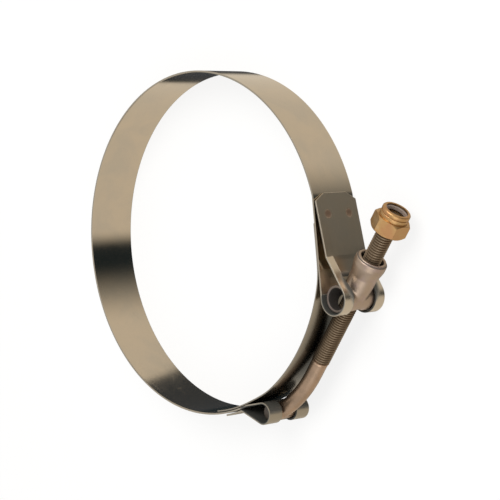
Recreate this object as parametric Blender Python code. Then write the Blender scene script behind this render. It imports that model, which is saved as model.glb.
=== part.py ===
# A T-bolt hose clamp lying on one edge of its band. Metres, +Z up.
# The band's axis is parallel to Z, the bolt is on the +X side and its nut points to +X +Y.
# Places in the plan are worked out about the band's axis. One parent empty then sets them so
# that the origin is under the middle of the whole clamp.

import bmesh
import bpy
from math import acos, asin, atan2, ceil, cos, degrees, pi, radians, sin, sqrt
from mathutils import Matrix, Vector

# Band
ring_radius = 0.0605            # inside of the band
band_width = 0.01905
band_thickness = 0.00064
clearance = 0.0003              # between pieces that touch or nearly touch
ring_step = 3.0                 # degrees of band for each flat
loop_step = 12.0                # degrees of loop for each flat

# Barrel of the trunnion, and the loop of band round it
barrel_height = 0.0077          # barrel axis above the outside of the band
barrel_angle = -13.95           # degrees round the band's axis
barrel_radius = 0.00465
barrel_bore_radius = 0.00365
barrel_recess = 0.0016          # barrel end inside the band's edge
neck_room = 0.000425            # beside the neck in the slot
prong_narrow_width = 0.003      # each side of the slot, at the bend
prong_flare = 0.006             # the prongs widen over this length before the barrel
nut_slot_back = 0.003           # slot past the barrel, up the inner leg
nut_leg_reach = 0.0321          # along the band, from the barrel to where the inner leg leaves it
nut_flap_reach = 0.03335        # to the end of the folded flap
prong_angle = 33.3              # where the prongs leave the barrel
prong_length = 0.0129
tongue_length = 0.0068
tongue_tip_width = 0.0056
tongue_heading = -84.0          # degrees in the plan

# Cross head of the bolt, and the loop of band round it
t_head_height = 0.0049          # head axis above the outside of the band
head_span = 0.054               # from the barrel axis to the head axis
t_head_radius = 0.00295
t_head_recess = 0.0034
t_head_bevel = 0.0005
t_slot_width = 0.0069
t_leg_reach = 0.00573           # along the band, from the head to where the inner leg leaves it
t_flap_near = 0.00905           # to the start of the folded flap
t_flap_far = 0.01983            # to its end

# Corners and welds of the two flaps
chamfer_across = 0.0038
chamfer_along = 0.0025
weld_radius = 0.0013
weld_spacing = 0.010
nut_weld_back = 0.0072          # from the flap's end
t_weld_back = 0.0042
dimple_depth = 0.0003
dimple_radius = 0.0015

# Bridge
bridge_inset = 0.000525         # inside the band's edges
bridge_thickness = 0.0005
bridge_stand_in = 0.0002        # its inner face past the gap, inside the band's own circle
bridge_tip_reach = 0.0256       # along the band, past the barrel
bridge_end_reach = 0.02207      # past the cross head
bridge_softness = 0.0008        # how gently it turns in under the nut's loop
bridge_step_near = 0.00517      # it rises to its own circle from here, past the cross head
bridge_step_far = 0.0075        # to here, on the other side

# T-bolt, with distances along its straight axis from the barrel
bolt_radius = 0.0031            # over the crests of the thread
shank_radius = 0.00285
bolt_room = 0.00042             # between the bolt and the bridge
bow_run = 0.021                 # length along the axis over which the shank curves
bow_steps = 9
bolt_inside = 0.0023            # its end below the top of the nut
bolt_end_bevel = 0.0006
thread_start = -0.0268
thread_rise = 0.0005            # length of the cone from shank to thread
bolt_sides = 32

# Neck and collar of the trunnion, with distances along the bolt from the barrel
bolt_hole_radius = 0.00395
neck_radius = 0.0046
neck_root_radius = 0.0037       # where it starts on the barrel's axis
neck_root_length = 0.0024
neck_top = 0.0088
collar_radius = 0.0059
collar_base = 0.0128
collar_top = 0.0162
collar_bevel = 0.0005
mouth_radius = 0.0048
mouth_depth = 0.0016
trunnion_sides = 40

# Lock nut, with heights above its base
nut_base = 0.0273               # along the bolt from the barrel
nut_flats = 0.0111
nut_hex_height = 0.0052
nut_height = 0.0082
nut_chamfer = 0.0007
crimp_radius = 0.0049
crimp_groove = 0.0004
crimp_groove_height = 0.0006
crimp_round = 0.0009
crimp_wall = 0.0005
crimp_lip_radius = 0.0038
crimp_lip_thickness = 0.0004
insert_height = 0.0012
nut_sides = 36


def polar(radius, angle):
    return Vector((cos(radians(angle)), sin(radians(angle)), 0)) * radius


def arc(centre, radius, start, stop, step):
    count = max(1, ceil(abs(stop - start) / step))
    return [centre + polar(radius, start + (stop - start) * i / count) for i in range(count + 1)]


def touch_angle(point, centre, radius, side):
    # Where a straight line from the point touches the circle, in degrees round its centre.
    out = point - centre
    return degrees(atan2(out.y, out.x) + side * acos(radius / out.length))


# Plan of the clamp, about the band's axis
half = band_thickness / 2
mid_height = band_width / 2
ring_outside = ring_radius + band_thickness
ring_line = ring_radius + half
flap_line = ring_outside + clearance + half
barrel_distance = ring_outside + barrel_height
t_head_distance = ring_outside + t_head_height
facing = (barrel_distance**2 + t_head_distance**2 - head_span**2) / (2 * barrel_distance * t_head_distance)
t_head_angle = barrel_angle - degrees(acos(facing))
barrel = polar(barrel_distance, barrel_angle)
t_head = polar(t_head_distance, t_head_angle)
nut_loop = barrel_radius + clearance + half
t_loop = t_head_radius + clearance + half

# The bolt's straight axis passes just outside the bridge, and the cross head is bowed to its loop.
link = barrel - t_head
bridge_outside = ring_radius - bridge_stand_in + bridge_thickness
bolt_heading = barrel_angle + degrees(asin((bridge_outside + bolt_room + bolt_radius) / barrel_distance))
bolt_way = polar(1, bolt_heading)
bolt_bow = link.x * bolt_way.y - link.y * bolt_way.x

nut_leg_angle = barrel_angle + degrees(nut_leg_reach / ring_line)
nut_flap_angle = barrel_angle + degrees(nut_flap_reach / flap_line)
t_leg_angle = t_head_angle - degrees(t_leg_reach / ring_line)
t_flap_start = t_head_angle - degrees(t_flap_near / flap_line)
t_flap_end = t_head_angle - degrees(t_flap_far / flap_line)
nut_prong_width = mid_height - neck_radius - neck_room

leg_top = polar(ring_line, nut_leg_angle)
leg_touch = touch_angle(leg_top, barrel, nut_loop, 1)
leg_foot = barrel + polar(nut_loop, leg_touch)
leg_way = (leg_top - leg_foot).normalized()
leg_out = Vector((leg_way.y, -leg_way.x, 0))

nut_corner = nut_flats / sqrt(3)
bore_radius = bolt_radius + clearance
recess_radius = crimp_radius - crimp_wall
lip_height = nut_height - crimp_lip_thickness
seat_height = lip_height - insert_height - 2 * clearance

bolt_end = nut_base + nut_height - bolt_inside
shoulder_place = barrel + bolt_way * (nut_base + nut_height - crimp_round)
right_edge = shoulder_place.x + (crimp_radius - crimp_round) * bolt_way.y + crimp_round
low_edge = min(-ring_outside, t_head.y - t_loop - half)
middle = Vector(((right_edge - ring_outside) / 2, (ring_outside + low_edge) / 2, 0))


def new_object(name, bm, material=None):
    mesh = bpy.data.meshes.new(name)
    bm.to_mesh(mesh)
    bm.free()
    piece = bpy.data.objects.new(name, mesh)
    bpy.context.scene.collection.objects.link(piece)
    piece.parent = plan
    if material:
        mesh.materials.append(material)
    else:
        piece.hide_render = True
        piece.display_type = "WIRE"
    return piece


def finish(name, colour, roughness, metallic):
    material = bpy.data.materials.new(name)
    material.use_nodes = True
    shader = material.node_tree.nodes["Principled BSDF"]
    shader.inputs["Base Color"].default_value = (*colour, 1)
    shader.inputs["Roughness"].default_value = roughness
    shader.inputs["Metallic"].default_value = metallic
    return material


def smooth(piece, angle=30):
    piece.data.shade_smooth()
    piece.data.set_sharp_from_angle(angle=radians(angle))


def boolean(piece, other, operation):
    cut = piece.modifiers.new(other.name, "BOOLEAN")
    cut.operation = operation
    cut.object = other
    cut.solver = "EXACT"


def turned(name, profile, sides, material=None):
    # A closed profile of (radius, height) points turned about local Z.
    bm = bmesh.new()
    points = [bm.verts.new((radius, 0, height)) for radius, height in profile]
    pairs = zip(points, points[1:] + points[:1])
    edges = [bm.edges.new(pair) for pair in pairs if pair[0].co.x > 0 or pair[1].co.x > 0]
    bmesh.ops.spin(
        bm, geom=points + edges, cent=(0, 0, 0), axis=(0, 0, 1), angle=2 * pi, steps=sides, use_merge=True
    )
    bmesh.ops.remove_doubles(bm, verts=bm.verts, dist=1e-7)
    bmesh.ops.recalc_face_normals(bm, faces=bm.faces)
    return new_object(name, bm, material)


def rod(radius, length, bevel=0.0, start=0.0):
    # Half the outline of a solid cylinder, for turned.
    if not bevel:
        return [(0, start), (radius, start), (radius, start + length), (0, start + length)]
    return [
        (0, start),
        (radius - bevel, start),
        (radius, start + bevel),
        (radius, start + length - bevel),
        (radius - bevel, start + length),
        (0, start + length),
    ]


def along_bolt(piece, distance=0.0):
    # Lays local Z on the bolt's straight axis, this far past the barrel.
    place = barrel + bolt_way * distance
    piece.location = (place.x, place.y, mid_height)
    piece.rotation_euler = (0, pi / 2, radians(bolt_heading))


def upright(piece, place, height=0.0):
    piece.location = (place.x, place.y, height)


def strip(name, path, heights, thickness, material, slots=(), waists=(), tongue=None, chamfers=()):
    # A sheet along a path in the plan, with its slots left out, its end corners cut, its prongs
    # narrowed and its tongue drawn out of the first slot's end, then given its thickness.
    bm = bmesh.new()
    grid = [[bm.verts.new((p.x, p.y, z)) for p in path] for z in heights]
    for low_row, high_row in zip(grid, grid[1:]):
        off_middle = abs((low_row[0].co.z + high_row[0].co.z) / 2 - mid_height)
        for i in range(len(path) - 1):
            if not any(first <= i < last and off_middle < slot_half for first, last, slot_half in slots):
                bm.faces.new((low_row[i], low_row[i + 1], high_row[i + 1], high_row[i]))
    if tongue:
        tip, tip_half = tongue
        station, _, slot_half = slots[0]
        root = {row[station] for row in grid if abs(row[station].co.z - mid_height) < slot_half + 1e-6}
        edges = [e for e in bm.edges if set(e.verts) <= root]
        drawn = bmesh.ops.extrude_edge_only(bm, edges=edges)["geom"]
        for vert in (v for v in drawn if isinstance(v, bmesh.types.BMVert)):
            share = (vert.co.z - mid_height) / slot_half
            vert.co = (tip.x, tip.y, mid_height + share * tip_half)
    for station, width, narrow_width in waists:
        for row in grid:
            in_from_edge = mid_height - abs(row[station].co.z - mid_height)
            if in_from_edge < width + 1e-6:
                side = 1 if row[station].co.z > mid_height else -1
                row[station].co.z = mid_height + side * (mid_height - in_from_edge * narrow_width / width)
    for station in chamfers:
        for corner_row, next_row in ((grid[0], grid[1]), (grid[-1], grid[-2])):
            corner, keep = corner_row[station], next_row[station]
            bmesh.ops.pointmerge(bm, verts=[keep, corner], merge_co=keep.co)
    bmesh.ops.delete(bm, geom=[v for v in bm.verts if not v.link_faces], context="VERTS")
    bmesh.ops.dissolve_limit(bm, angle_limit=radians(0.2), verts=bm.verts, edges=bm.edges)
    bmesh.ops.recalc_face_normals(bm, faces=bm.faces)
    piece = new_object(name, bm, material)
    solid = piece.modifiers.new("thickness", "SOLIDIFY")
    solid.thickness = thickness
    solid.offset = 0
    solid.use_even_offset = True
    return piece


def with_chamfer_station(path):
    # Adds the station where the end chamfer begins, back from the path's last point.
    last = path[-1]
    while len(path) > 2 and (last - path[-2]).length < chamfer_along * 1.2:
        path = path[:-2] + [last]
    return path[:-1] + [last + (path[-2] - last).normalized() * chamfer_along, last]


def mirrored(lower):
    return lower + [2 * mid_height - height for height in reversed(lower)]


def make_band(material):
    # The path runs from the flap at the nut, round the barrel, the ring and the cross head, to
    # the other flap.
    prong_foot = barrel + polar(nut_loop, prong_angle)
    bend = prong_foot + polar(prong_length, prong_angle + 90)
    nut_flap = with_chamfer_station([bend, polar(flap_line, nut_flap_angle)])[::-1]
    flare = prong_foot + polar(prong_flare, prong_angle + 90)
    nut_wrap = [flare] + arc(barrel, nut_loop, prong_angle, leg_touch - 360, loop_step)
    slot_top = leg_foot + leg_way * nut_slot_back
    ring = arc(Vector(), ring_line, nut_leg_angle, 360 + t_leg_angle, ring_step)

    flap_start = polar(flap_line, t_flap_start)
    upper_touch = touch_angle(ring[-1], t_head, t_loop, -1)
    lower_touch = touch_angle(flap_start, t_head, t_loop, 1) - 360
    t_wrap = arc(t_head, t_loop, upper_touch, lower_touch, loop_step)
    t_flap = with_chamfer_station(arc(Vector(), flap_line, t_flap_start, t_flap_end, ring_step))

    to_ring = nut_flap + nut_wrap + [slot_top] + ring
    path = to_ring + t_wrap + t_flap
    bend_station = len(nut_flap) - 1
    nut_slot = (bend_station, len(nut_flap) + len(nut_wrap), mid_height - nut_prong_width)
    t_slot = (len(to_ring), len(to_ring) + len(t_wrap) - 1, t_slot_width / 2)
    lower = sorted({0.0, chamfer_across, nut_prong_width, mid_height - t_slot_width / 2})
    band = strip(
        "band",
        path,
        mirrored(lower),
        band_thickness,
        material,
        slots=(nut_slot, t_slot),
        waists=[(bend_station + i, nut_prong_width, prong_narrow_width) for i in (0, 1)],
        tongue=(bend + polar(tongue_length, tongue_heading), tongue_tip_width / 2),
        chamfers=(0, len(path) - 1),
    )

    nut_along = (path[1] - path[0]).normalized()
    nut_spot = path[0] + nut_along * nut_weld_back
    nut_out = Vector((-nut_along.y, nut_along.x, 0))
    to_leg = (nut_spot - leg_top).dot(leg_out) / nut_out.dot(leg_out)
    weld(band, "nut_weld", nut_spot, nut_out, to_leg)
    t_out = polar(1, t_flap_end + degrees(t_weld_back / flap_line))
    weld(band, "t_weld", t_out * flap_line, t_out, flap_line - ring_line)
    smooth(band, 40)
    return band


def weld(band, name, spot, out, depth):
    # Two spot welds that join a flap to the band under it, with a dimple over each.
    for side in (-1, 1):
        ending = "low" if side < 0 else "high"
        nugget = turned(f"{name}_{ending}", rod(weld_radius, depth, start=-depth), 16)
        dimple = turned(
            f"{name}_dimple_{ending}",
            [
                (0, half - dimple_depth),
                (dimple_radius, half),
                (dimple_radius, half + clearance),
                (0, half + clearance),
            ],
            16,
        )
        for shape, operation in ((nugget, "UNION"), (dimple, "DIFFERENCE")):
            shape.location = (spot.x, spot.y, mid_height + side * weld_spacing / 2)
            shape.rotation_euler = (0, pi / 2, atan2(out.y, out.x))
            boolean(band, shape, operation)


def make_bridge(material):
    # Its centre line takes the smaller of two radii: its own circle, and a line under the leg.
    bridge_half = bridge_thickness / 2
    under_band = ring_radius - clearance - bridge_half
    own_line = ring_radius - bridge_stand_in + bridge_half
    leg_distance = leg_top.dot(leg_out) - half - clearance - bridge_half
    leg_normal = degrees(atan2(leg_out.y, leg_out.x))
    bridge_tip_angle = barrel_angle + degrees(bridge_tip_reach / ring_radius)
    bridge_end_angle = t_head_angle - degrees(bridge_end_reach / ring_radius)
    step_start = t_head_angle - degrees(bridge_step_near / ring_radius)
    step_end = t_head_angle + degrees(bridge_step_far / ring_radius)
    count = ceil((bridge_tip_angle - bridge_end_angle) / ring_step)
    path = []
    for i in range(count + 1):
        angle = bridge_end_angle + (bridge_tip_angle - bridge_end_angle) * i / count
        share = min(max((angle - step_start) / (step_end - step_start), 0), 1)
        circle = under_band + (own_line - under_band) * share * share * (3 - 2 * share)
        line = leg_distance / max(cos(radians(angle - leg_normal)), 0.1)
        radius = (circle + line - sqrt((circle - line) ** 2 + bridge_softness**2)) / 2
        path.append(polar(radius, angle))
    path = with_chamfer_station(path)
    bridge = strip(
        "bridge",
        path,
        mirrored([bridge_inset, bridge_inset + chamfer_across]),
        bridge_thickness,
        material,
        chamfers=(len(path) - 1,),
    )
    smooth(bridge)
    return bridge


def make_t_bolt(material):
    # A circle is spun along the bow, drawn out straight and joined to the cross head.
    bow_turn = 2 * atan2(bolt_bow, bow_run)
    head_heading = radians(bolt_heading) - bow_turn
    bow_centre = polar(bow_run / sin(bow_turn), degrees(head_heading) + 90)
    lay = Matrix.Rotation(head_heading, 4, "Z") @ Matrix.Rotation(pi / 2, 4, "Y")
    bm = bmesh.new()
    bmesh.ops.create_circle(bm, cap_ends=True, segments=bolt_sides, radius=shank_radius, matrix=lay)
    spun = bmesh.ops.spin(
        bm, geom=bm.edges[:], cent=bow_centre, axis=(0, 0, 1), angle=bow_turn, steps=bow_steps
    )
    edges = [e for e in spun["geom_last"] if isinstance(e, bmesh.types.BMEdge)]
    centre = barrel - t_head + bolt_way * (bow_run - sqrt(link.length**2 - bolt_bow**2))
    radius = shank_radius
    for distance, next_radius in (
        (thread_start - thread_rise, shank_radius),
        (thread_start, bolt_radius),
        (bolt_end - bolt_end_bevel, bolt_radius),
        (bolt_end, bolt_radius - bolt_end_bevel),
    ):
        drawn = bmesh.ops.extrude_edge_only(bm, edges=edges)["geom"]
        edges = [e for e in drawn if isinstance(e, bmesh.types.BMEdge)]
        next_centre = barrel - t_head + bolt_way * distance
        for vert in (v for v in drawn if isinstance(v, bmesh.types.BMVert)):
            vert.co = next_centre + (vert.co - centre) * (next_radius / radius)
        centre, radius = next_centre, next_radius
    bmesh.ops.edgeloop_fill(bm, edges=edges)
    bmesh.ops.recalc_face_normals(bm, faces=bm.faces)
    t_bolt = new_object("t_bolt", bm, material)
    upright(t_bolt, t_head, mid_height)

    head_length = band_width - 2 * t_head_recess
    head = turned("cross_head", rod(t_head_radius, head_length, t_head_bevel), bolt_sides)
    upright(head, t_head, t_head_recess)
    boolean(t_bolt, head, "UNION")
    smooth(t_bolt)
    return t_bolt


def make_trunnion(material):
    # A hollow barrel across the band, with a neck and flared collar along the bolt.
    neck = [
        (0, 0),
        (neck_root_radius, 0),
        (neck_radius, neck_root_length),
        (neck_radius, neck_top),
        (collar_radius, collar_base),
        (collar_radius, collar_top - collar_bevel),
        (collar_radius - collar_bevel, collar_top),
        (0, collar_top),
    ]
    trunnion = turned("trunnion", neck, trunnion_sides, material)
    along_bolt(trunnion)

    tube = turned("barrel_outside", rod(barrel_radius, band_width - 2 * barrel_recess), trunnion_sides)
    upright(tube, barrel, barrel_recess)
    boolean(trunnion, tube, "UNION")

    hole_start = -1.5 * barrel_radius
    hole = turned(
        "bolt_hole",
        [
            (0, hole_start),
            (bolt_hole_radius, hole_start),
            (bolt_hole_radius, collar_top - mouth_depth),
            (mouth_radius, collar_top),
            (mouth_radius, collar_top + clearance),
            (0, collar_top + clearance),
        ],
        trunnion_sides,
    )
    along_bolt(hole)
    boolean(trunnion, hole, "DIFFERENCE")
    bore = turned("barrel_bore", rod(barrel_bore_radius, band_width), trunnion_sides)
    upright(bore, barrel)
    bore.rotation_euler.z = pi / trunnion_sides
    boolean(trunnion, bore, "DIFFERENCE")
    smooth(trunnion)
    return trunnion


def make_lock_nut(material):
    # A hexagon with turned corners, and a crimped collar with a seat for the locking ring.
    bm = bmesh.new()
    bmesh.ops.create_cone(
        bm,
        cap_ends=True,
        segments=6,
        radius1=nut_corner,
        radius2=nut_corner,
        depth=nut_hex_height,
        matrix=Matrix.Translation((0, 0, nut_hex_height / 2)) @ Matrix.Rotation(pi / 6, 4, "Z"),
    )
    nut = new_object("lock_nut", bm, material)
    slope = nut_chamfer / (nut_corner - nut_flats / 2)
    past = slope * clearance
    corners = [
        (0, -past),
        (nut_flats / 2 - clearance, -past),
        (nut_corner + clearance, nut_chamfer + past),
        (nut_corner + clearance, nut_hex_height - nut_chamfer - past),
        (nut_flats / 2 - clearance, nut_hex_height + past),
        (0, nut_hex_height + past),
    ]
    turning = turned("nut_corners", corners, nut_sides)
    groove_radius = crimp_radius - crimp_groove
    groove_top = nut_hex_height + crimp_groove_height
    round_centre = Vector((crimp_radius - crimp_round, nut_height - crimp_round, 0))
    shoulder = arc(round_centre, crimp_round, 0, 90, 22.5)
    collar = turned(
        "nut_collar",
        [
            (0, nut_hex_height / 2),
            (groove_radius, nut_hex_height / 2),
            (groove_radius, groove_top),
            (crimp_radius, groove_top + crimp_groove),
            *((point.x, point.y) for point in shoulder),
            (0, nut_height),
        ],
        nut_sides,
    )
    inside = turned(
        "nut_inside",
        [
            (0, -clearance),
            (bore_radius, -clearance),
            (bore_radius, seat_height),
            (recess_radius, seat_height),
            (recess_radius, lip_height),
            (crimp_lip_radius, lip_height),
            (crimp_lip_radius, nut_height + clearance),
            (0, nut_height + clearance),
        ],
        nut_sides,
    )
    for shape, operation in ((turning, "INTERSECT"), (collar, "UNION"), (inside, "DIFFERENCE")):
        along_bolt(shape, nut_base)
        boolean(nut, shape, operation)
    along_bolt(nut, nut_base)
    smooth(nut)
    return nut


def make_nylon_insert(material):
    insert = turned(
        "nylon_insert",
        [
            (bore_radius, 0),
            (recess_radius - clearance, 0),
            (recess_radius - clearance, insert_height),
            (bore_radius, insert_height),
        ],
        nut_sides,
        material,
    )
    along_bolt(insert, nut_base + seat_height + clearance)
    smooth(insert)
    return insert


for old in list(bpy.data.objects):
    bpy.data.objects.remove(old)

plan = bpy.data.objects.new("plan", None)
bpy.context.scene.collection.objects.link(plan)
plan.location = -middle

stainless = finish("stainless_band", (0.62, 0.58, 0.52), 0.25, 1.0)
bolt_steel = finish("bolt_steel", (0.55, 0.49, 0.44), 0.35, 1.0)
trunnion_steel = finish("trunnion_steel", (0.66, 0.58, 0.52), 0.3, 1.0)
yellow_zinc = finish("yellow_zinc", (0.83, 0.62, 0.29), 0.3, 1.0)
nylon = finish("nylon", (0.78, 0.74, 0.66), 0.5, 0.0)

make_band(stainless)
make_bridge(stainless)
make_t_bolt(bolt_steel)
make_trunnion(trunnion_steel)
make_lock_nut(yellow_zinc)
make_nylon_insert(nylon)
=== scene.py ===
import bmesh
import bpy
from math import acos, asin, atan2, cos, degrees, pi, radians, sin, sqrt
from mathutils import Matrix, Quaternion, Vector


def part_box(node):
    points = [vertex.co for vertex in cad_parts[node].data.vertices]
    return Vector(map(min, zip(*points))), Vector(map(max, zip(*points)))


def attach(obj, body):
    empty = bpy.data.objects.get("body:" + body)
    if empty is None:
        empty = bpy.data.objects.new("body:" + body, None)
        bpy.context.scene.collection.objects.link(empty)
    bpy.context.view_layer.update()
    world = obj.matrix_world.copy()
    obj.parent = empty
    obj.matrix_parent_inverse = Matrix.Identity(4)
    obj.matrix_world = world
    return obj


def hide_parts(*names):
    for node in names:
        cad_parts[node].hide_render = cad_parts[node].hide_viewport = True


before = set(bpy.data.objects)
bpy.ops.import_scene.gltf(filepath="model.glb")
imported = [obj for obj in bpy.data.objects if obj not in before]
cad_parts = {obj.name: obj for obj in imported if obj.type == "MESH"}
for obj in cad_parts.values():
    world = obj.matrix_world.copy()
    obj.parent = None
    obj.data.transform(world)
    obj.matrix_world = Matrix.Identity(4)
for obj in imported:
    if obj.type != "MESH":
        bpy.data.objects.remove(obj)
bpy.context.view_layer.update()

# A T-bolt hose clamp: rolled steel band and bridge, bowed bolt with a real thread, trunnion,
# yellow zinc lock nut and its plastic ring.

scene = bpy.context.scene
scene.view_settings.view_transform = "Standard"


def polar(radius, angle):
    return Vector((cos(radians(angle)), sin(radians(angle)), 0)) * radius


def ease(share):
    share = min(max(share, 0), 1)
    return share * share * (3 - 2 * share)


def touchAngle(point, centre, radius, side):  # where a line from the point touches the circle
    out = point - centre
    return degrees(atan2(out.y, out.x) + side * acos(radius / out.length))


# the plan that all pieces share

plan = {
    "ringRadius": 0.0605,       # inside of the band
    "width": 0.01905,
    "thickness": 0.00064,
    "gap": 0.0003,              # between pieces that touch
    "barrelHeight": 0.0077,     # barrel axis above the band
    "barrelAngle": -13.95,
    "barrelRadius": 0.00465,
    "headHeight": 0.0049,       # axis of the bolt's cross head above the band
    "headAngle": -61.094,
    "headRadius": 0.00295,
    "boltBow": 0.0051,          # cross head's offset from the straight axis
}
halfThick = plan["thickness"] / 2
ringOutside = plan["ringRadius"] + plan["thickness"]
ringLine = plan["ringRadius"] + halfThick
bandLow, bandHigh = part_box("band")
ringCentre = Vector((bandLow[0] + ringOutside, bandHigh[1] - ringOutside, 0))
midHeight = (bandLow[2] + bandHigh[2]) / 2
barrel = ringCentre + polar(ringOutside + plan["barrelHeight"], plan["barrelAngle"])
crossHead = ringCentre + polar(ringOutside + plan["headHeight"], plan["headAngle"])
link = barrel - crossHead
boltHeading = degrees(atan2(link.y, link.x) + asin(plan["boltBow"] / link.length))
boltWay = polar(1, boltHeading)


def laidMatrix(place, heading):  # local Z lies along this heading
    return Matrix.Translation(place) @ Matrix.Rotation(heading, 4, "Z") @ Matrix.Rotation(pi / 2, 4, "Y")


def boltMatrix(distance=0.0):  # local Z along the bolt, this far past the barrel
    return laidMatrix(barrel + boltWay * distance + Vector((0, 0, midHeight)), radians(boltHeading))


# small tools

def newPiece(name, bm, material):
    mesh = bpy.data.meshes.new(name)
    bm.to_mesh(mesh)
    bm.free()
    piece = bpy.data.objects.new(name, mesh)
    scene.collection.objects.link(piece)
    if material:
        mesh.materials.append(material)
    return piece


def settle(piece, angle=30):  # modifiers become the mesh, then it is shaded smooth
    bpy.context.view_layer.update()
    depsgraph = bpy.context.evaluated_depsgraph_get()
    mesh = bpy.data.meshes.new_from_object(piece.evaluated_get(depsgraph))
    piece.modifiers.clear()
    piece.data = mesh
    mesh.name = piece.name
    mesh.shade_smooth()
    mesh.set_sharp_from_angle(angle=radians(angle))
    return piece


def cutOrJoin(piece, other, operation):
    step = piece.modifiers.new(other.name, "BOOLEAN")
    step.operation = operation
    step.object = other
    step.solver = "EXACT"
    other.hide_render = True


def dropTools(*tools):
    for tool in tools:
        bpy.data.objects.remove(tool)


def thicken(piece, thickness):
    solid = piece.modifiers.new("thickness", "SOLIDIFY")
    solid.thickness, solid.offset, solid.use_even_offset = thickness, 0, True


def roundEdges(piece, width, angle):
    bevel = piece.modifiers.new("edges", "BEVEL")
    bevel.width, bevel.segments, bevel.limit_method, bevel.angle_limit = width, 2, "ANGLE", radians(angle)


def edgesOf(geom):
    return [e for e in geom if isinstance(e, bmesh.types.BMEdge)]


def vertsOf(geom):
    return [v for v in geom if isinstance(v, bmesh.types.BMVert)]


def paint(piece, name, value):  # a number at each vertex, for a material
    layer = piece.data.attributes.new(name, "FLOAT", "POINT")
    layer.data.foreach_set("value", [value(vert.co) for vert in piece.data.vertices])


def turned(name, profile, steps, matrix, material=None):  # a closed profile turned about local Z
    bm = bmesh.new()
    verts = [bmesh.ops.create_vert(bm, co=(radius, 0, height))["vert"][0] for radius, height in profile]
    for first, second in zip(verts, verts[1:] + verts[:1]):
        if first.co.x > 0 or second.co.x > 0:
            bmesh.ops.contextual_create(bm, geom=[first, second])
    bmesh.ops.spin(
        bm, geom=bm.verts[:] + bm.edges[:], cent=(0, 0, 0), axis=(0, 0, 1), angle=2 * pi, steps=steps,
        use_merge=True,
    )
    bmesh.ops.remove_doubles(bm, verts=bm.verts, dist=1e-7)
    bmesh.ops.recalc_face_normals(bm, faces=bm.faces)
    bmesh.ops.transform(bm, matrix=matrix, verts=bm.verts)
    return newPiece(name, bm, material)


def rounded(profile, rounds, steps=5):  # corners of a profile, given by number, become arcs
    points = []
    for i, point in enumerate(profile):
        here = Vector(point)
        if i not in rounds:
            points.append(here)
            continue
        before = (Vector(profile[i - 1]) - here).normalized()
        after = (Vector(profile[(i + 1) % len(profile)]) - here).normalized()
        half = acos(max(-1, min(1, before.dot(after)))) / 2
        reach = rounds[i] / (sin(half) / cos(half))
        start, end = here + before * reach, here + after * reach
        middle = here + (before + after).normalized() * rounds[i] / sin(half)
        for k in range(steps + 1):
            point = start.lerp(end, k / steps)
            points.append(middle + (point - middle).normalized() * rounds[i])
    return points


class Pen:  # draws an edge path in the plan, and keeps how far along it each vertex is
    def __init__(self, place):
        self.bm = bmesh.new()
        self.layer = self.bm.verts.layers.float.new("along")
        self.tip = bmesh.ops.create_vert(self.bm, co=place)["vert"][0]
        self.along = 0.0

    def moveTo(self, vert):
        self.along += (vert.co - self.tip.co).length
        vert[self.layer] = self.along
        self.tip = vert

    def line(self, place, steps=1):
        start = self.tip.co.copy()
        for i in range(steps):
            drawn = bmesh.ops.extrude_vert_indiv(self.bm, verts=[self.tip])["verts"][0]
            drawn.co = start.lerp(place, (i + 1) / steps)
            self.moveTo(drawn)
        return self.along

    def arc(self, centre, turn, step):
        count = max(1, round(abs(turn) / step))
        for _ in range(count):
            bmesh.ops.spin(
                self.bm, geom=[self.tip], cent=centre, axis=(0, 0, 1), angle=radians(turn / count), steps=1
            )
            self.bm.verts.ensure_lookup_table()
            self.moveTo(self.bm.verts[-1])
        return self.along

    def drawUp(self, heights):  # the path is drawn up through these heights as a sheet
        bm = self.bm
        edges = bm.edges[:]
        bmesh.ops.translate(bm, verts=bm.verts, vec=(0, 0, heights[0]))
        for low, high in zip(heights, heights[1:]):
            drawn = bmesh.ops.extrude_edge_only(bm, edges=edges)["geom"]
            edges = edgesOf(drawn)
            bmesh.ops.translate(bm, verts=vertsOf(drawn), vec=(0, 0, high - low))
        return bm


# shader maths

class Wire:  # one output socket; maths on it adds Math nodes
    def __init__(self, tree, socket=None):
        self.tree, self.socket = tree, socket

    def node(self, kind, settings=None, values=None, out=0):
        new = self.tree.nodes.new("ShaderNode" + kind)
        for name, value in (settings or {}).items():
            if name == "stops":
                ramp = new.color_ramp
                while len(ramp.elements) < len(value):
                    ramp.elements.new(0.5)
                for element, (place, colour) in zip(ramp.elements, value):
                    element.position, element.color = place, (*colour, 1)
            else:
                setattr(new, name, value)
        for name, value in (values or {}).items():
            self.feed(new.inputs[name], value)
        return Wire(self.tree, new.outputs[out])

    def feed(self, socket, value):
        if isinstance(value, Wire):
            self.tree.links.new(value.socket, socket)
        elif isinstance(value, tuple) and len(value) == 3 and socket.type == "RGBA":
            socket.default_value = (*value, 1)
        else:
            socket.default_value = value

    def maths(self, operation, *values):
        return self.node("Math", {"operation": operation}, dict(enumerate(values)))

    def __add__(self, other):
        return self.maths("ADD", self, other)

    def __sub__(self, other):
        return self.maths("SUBTRACT", self, other)

    def __rsub__(self, other):
        return self.maths("SUBTRACT", other, self)

    def __mul__(self, other):
        return self.maths("MULTIPLY", self, other)

    def __truediv__(self, other):
        return self.maths("DIVIDE", self, other)

    def __rtruediv__(self, other):
        return self.maths("DIVIDE", other, self)

    def __pow__(self, other):
        return self.maths("POWER", self, other)

    __radd__, __rmul__ = __add__, __mul__

    def between(self, low, high):  # 0 below low, 1 above high, smooth between
        values = {"Value": self, "From Min": low, "From Max": high}
        return self.node("MapRange", {"interpolation_type": "SMOOTHSTEP"}, values)


def mixed(factor, first, second):
    return factor.node("Mix", {"data_type": "RGBA"}, {0: factor, 6: first, 7: second}, out=2)


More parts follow.
